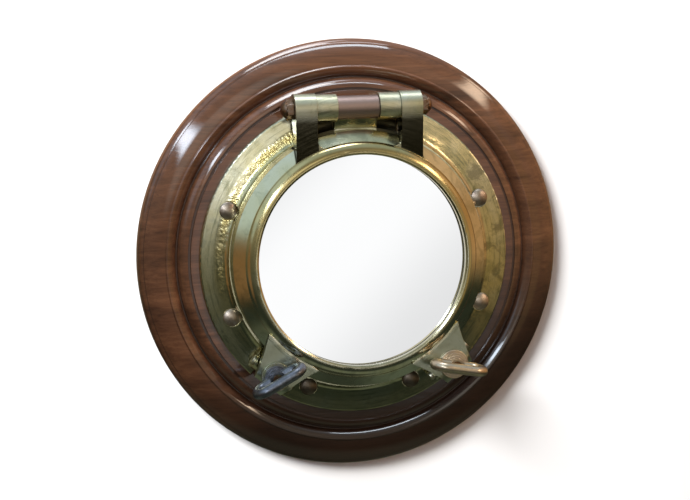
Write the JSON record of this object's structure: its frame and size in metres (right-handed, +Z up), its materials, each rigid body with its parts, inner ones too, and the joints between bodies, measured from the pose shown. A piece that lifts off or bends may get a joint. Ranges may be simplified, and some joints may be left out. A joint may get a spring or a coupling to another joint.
{
  "type": "porthole",
  "caption": "Round brass porthole with a mirrored leaf hinged at the top and held by swing bolts with ring nuts, bolted to a turned dark wooden ring for a wall.",
  "frame": {"origin": "centre of the wooden ring's back face, on the wall", "axes": "+X to the right seen from the front, +Y into the wall, +Z up; the front looks along -Y"},
  "size_m": [0.4199, 0.0922, 0.42],
  "materials": {
    "dark_wood": "polished",
    "brass": "polished",
    "bronze": "satin",
    "copper_brown": "satin",
    "gunmetal": "polished",
    "mirror": "silvered",
    "rubber": "matte"
  },
  "bodies": {
    "frame": {"wood_mount": "dark_wood", "base_ring": "brass", "flange_bolts": "bronze", "flange_washers": "bronze", "flange_nuts": "bronze", "hinge_pin": "bronze", "hinge_sleeve": "copper_brown", "hinge_cap_nut_left": "bronze", "hinge_cap_nut_right": "bronze", "dog_pin_left": "brass", "dog_pin_right": "brass"},
    "leaf": {"leaf_ring": "brass", "mirror_pane": "mirror", "pane_bedding": "rubber", "pane_retaining_ring": "brass", "leaf_gasket": "rubber"},
    "dog_left": {"dog_bolt_left": "bronze"},
    "washer_left": {"dog_washer_left": "gunmetal"},
    "nut_left": {"ring_nut_left": "gunmetal"},
    "dog_right": {"dog_bolt_right": "bronze"},
    "washer_right": {"dog_washer_right": "bronze"},
    "nut_right": {"ring_nut_right": "bronze"}
  },
  "joints": [
    {"name": "leaf_swing", "type": "hinge", "parent": "frame", "child": "leaf", "pos_m": [0, -0.048, 0.1457], "axis": [-1, 0, 0], "range_deg": [0, 105]},
    {"name": "dog_left_swing", "type": "hinge", "parent": "frame", "child": "dog_left", "pos_m": [-0.0881, -0.0398, -0.10687], "axis": [0.7716, 0, -0.6361], "range_deg": [0, 60]},
    {"name": "nut_left_travel", "type": "slide", "parent": "dog_left", "child": "washer_left", "axis": [0, -1, 0], "range_m": [0, 0.006]},
    {"name": "nut_left_spin", "type": "hinge", "parent": "washer_left", "child": "nut_left", "pos_m": [-0.0881, -0.062, -0.10687], "axis": [0, -1, 0], "range_deg": [0, 1080]},
    {"name": "dog_right_swing", "type": "hinge", "parent": "frame", "child": "dog_right", "pos_m": [0.0881, -0.0398, -0.10687], "axis": [0.7716, 0, 0.6361], "range_deg": [0, 60]},
    {"name": "nut_right_travel", "type": "slide", "parent": "dog_right", "child": "washer_right", "axis": [0, -1, 0], "range_m": [0, 0.006]},
    {"name": "nut_right_spin", "type": "hinge", "parent": "washer_right", "child": "nut_right", "pos_m": [0.0881, -0.062, -0.10687], "axis": [0, -1, 0], "range_deg": [0, 1080]}
  ],
  "couplings": [
    {"joint": "nut_left_travel", "follows": "nut_left_spin", "m_per_rad": 0.00031831},
    {"joint": "nut_right_travel", "follows": "nut_right_spin", "m_per_rad": 0.00031831}
  ]
}
